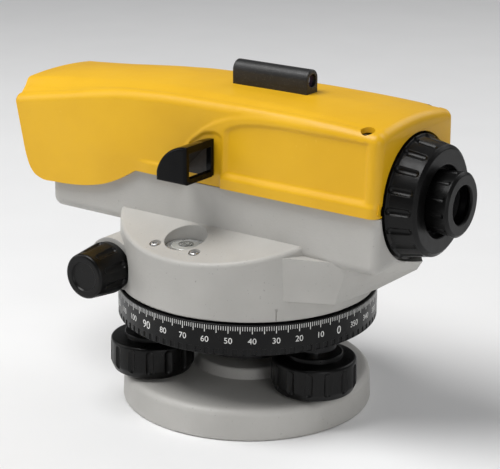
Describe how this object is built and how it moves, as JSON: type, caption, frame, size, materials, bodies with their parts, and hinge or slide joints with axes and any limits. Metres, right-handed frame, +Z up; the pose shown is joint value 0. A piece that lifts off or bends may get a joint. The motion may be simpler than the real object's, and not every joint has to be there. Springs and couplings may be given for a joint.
{
  "type": "automatic level",
  "caption": "Surveyor's automatic level: hooded telescope with pendulum compensator on a rotating base with levelling foot screws, circle and bubble.",
  "frame": {"origin": "centre of the base plate's underside, on the vertical axis, at the mouth of the tripod thread", "axes": "+Z up along the vertical axis; the line of sight lies along X, with the objective towards -X and the eyepiece towards +X"},
  "size_m": [0.2146, 0.13, 0.1539],
  "materials": {
    "cover_yellow": "satin powder coat, fine grain",
    "body_casting": "satin, fine orange-peel grain",
    "base_casting": "satin, fine orange-peel grain",
    "knob_rubber": "matte, moulded",
    "gloss_black": "gloss",
    "sight_black": "speckled satin",
    "circle_black": "satin",
    "black_metal": "matte",
    "steel": "machined",
    "brass": "machined",
    "aluminium": "machined",
    "glass": "clear",
    "mirror": "polished",
    "gasket_rubber": "matte"
  },
  "bodies": {
    "base": {"base_plate": "base_casting", "tripod_thread_bush": "brass", "foot_spring_plate": "steel", "spring_plate_screws": "steel"},
    "left_foot_screw": {"foot_screw_a": "steel", "foot_screw_knob_a": "knob_rubber"},
    "right_foot_screw": {"foot_screw_b": "steel", "foot_screw_knob_b": "knob_rubber"},
    "rear_foot_screw": {"foot_screw_c": "steel", "foot_screw_knob_c": "knob_rubber"},
    "levelling_nut": {"foot_screw_bush_c": "brass"},
    "tribrach_body": {"tribrach": "black_metal", "foot_screw_bushes": "brass", "bearing_sleeve": "brass", "clutch_nut": "brass"},
    "circle_body": {"horizontal_circle": "circle_black"},
    "clutch_body": {"worm_wheel": "brass", "clutch_washer": "steel"},
    "alidade": {"lower_housing": "body_casting", "vertical_spindle": "steel", "spindle_screws": "steel", "drive_cover_plate": "aluminium", "drive_cover_screws": "steel", "worm_bushes": "brass", "bubble_cup": "aluminium", "bubble_vial": "glass", "bubble_adjusting_screws": "steel", "bubble_mirror_hood": "gloss_black", "bubble_mirror": "mirror", "top_cover": "cover_yellow", "cover_screws": "steel", "cover_gasket": "gasket_rubber", "bar_sight": "sight_black", "bar_sight_lenses": "glass", "objective_cell": "black_metal", "objective_crown_lens": "glass", "objective_flint_lens": "glass", "objective_retaining_ring": "black_metal", "focus_guide": "aluminium", "compensator_frame": "aluminium", "fixed_prism": "glass", "fixed_prism_holder": "aluminium", "damper_cylinder": "brass", "eyepiece_barrel": "black_metal", "reticle_holder": "black_metal", "reticle": "glass"},
    "slow_motion": {"worm_shaft": "steel", "slow_motion_knob_left": "knob_rubber", "slow_motion_knob_right": "knob_rubber"},
    "focus_ring_body": {"focus_ring": "knob_rubber", "focus_cam_sleeve": "aluminium"},
    "focusing_lens_body": {"focusing_lens_carrier": "aluminium", "focusing_lens": "glass", "focus_push_rod": "steel"},
    "dioptre_body": {"dioptre_ring": "knob_rubber"},
    "eyepiece_cell_body": {"eyepiece_cell": "black_metal", "eyepiece_lenses": "glass"},
    "pendulum_body": {"pendulum": "aluminium", "pendulum_prism": "glass", "suspension_tapes": "steel"}
  },
  "joints": [
    {"name": "foot_screw_c_turn", "type": "hinge", "parent": "base", "child": "rear_foot_screw", "pos_m": [-0.01297, 0.04163, 0.0233], "axis": [0, 0, 1], "range_deg": [-540, 540]},
    {"name": "tilt_a", "type": "hinge", "parent": "base", "child": "levelling_nut", "pos_m": [0.00648, -0.02081, 0.0412], "axis": [0.9548, 0.2974, 0], "range_deg": [-1, 1]},
    {"name": "foot_screw_a_turn", "type": "hinge", "parent": "base", "child": "left_foot_screw", "pos_m": [-0.02957, -0.03204, 0.0233], "axis": [0, 0, 1], "range_deg": [-360, 360]},
    {"name": "foot_screw_b_turn", "type": "hinge", "parent": "base", "child": "right_foot_screw", "pos_m": [0.04253, -0.00958, 0.0233], "axis": [0, 0, 1], "range_deg": [-360, 360]},
    {"name": "tilt_b", "type": "hinge", "parent": "levelling_nut", "child": "tribrach_body", "pos_m": [0, 0, 0.0412], "axis": [-0.2974, 0.9548, 0], "range_deg": [-1.2, 1.2]},
    {"name": "circle_turn", "type": "hinge", "parent": "tribrach_body", "child": "circle_body", "pos_m": [0, 0, 0.052], "axis": [0, 0, 1], "continuous": true},
    {"name": "coarse_swivel", "type": "hinge", "parent": "tribrach_body", "child": "clutch_body", "pos_m": [0, 0, 0.0645], "axis": [0, 0, 1], "continuous": true},
    {"name": "fine_motion", "type": "hinge", "parent": "clutch_body", "child": "alidade", "pos_m": [0, 0, 0.0645], "axis": [0, 0, 1], "continuous": true},
    {"name": "slow_motion_turn", "type": "hinge", "parent": "alidade", "child": "slow_motion", "pos_m": [-0.041, 0, 0.0645], "axis": [0, 1, 0], "continuous": true},
    {"name": "focus_turn", "type": "hinge", "parent": "alidade", "child": "focus_ring_body", "pos_m": [0.0884, 0, 0.1077], "axis": [1, 0, 0], "range_deg": [-270, 270]},
    {"name": "focusing_slide", "type": "slide", "parent": "alidade", "child": "focusing_lens_body", "axis": [1, 0, 0], "range_m": [-0.00601, 0.00601]},
    {"name": "dioptre_turn", "type": "hinge", "parent": "alidade", "child": "dioptre_body", "pos_m": [0.1, 0, 0.1077], "axis": [1, 0, 0], "range_deg": [-150, 150]},
    {"name": "eyepiece_slide", "type": "slide", "parent": "alidade", "child": "eyepiece_cell_body", "axis": [1, 0, 0], "range_m": [-0.0012, 0.0012]},
    {"name": "pendulum_swing", "type": "hinge", "parent": "alidade", "child": "pendulum_body", "pos_m": [0.035, 0, 0.131], "axis": [0, 1, 0], "range_deg": [-0.25, 0.25]}
  ],
  "couplings": [
    {"joint": "tilt_a", "follows": "foot_screw_c_turn", "ratio": -0.001825},
    {"joint": "tilt_b", "follows": "foot_screw_a_turn", "ratio": -0.003161},
    {"joint": "foot_screw_b_turn", "follows": "foot_screw_a_turn", "ratio": -1},
    {"joint": "fine_motion", "follows": "slow_motion_turn", "ratio": 0.006944},
    {"joint": "focusing_slide", "follows": "focus_turn", "m_per_rad": 0.001273},
    {"joint": "dioptre_turn", "follows": "eyepiece_slide", "rad_per_m": 2183.4}
  ]
}
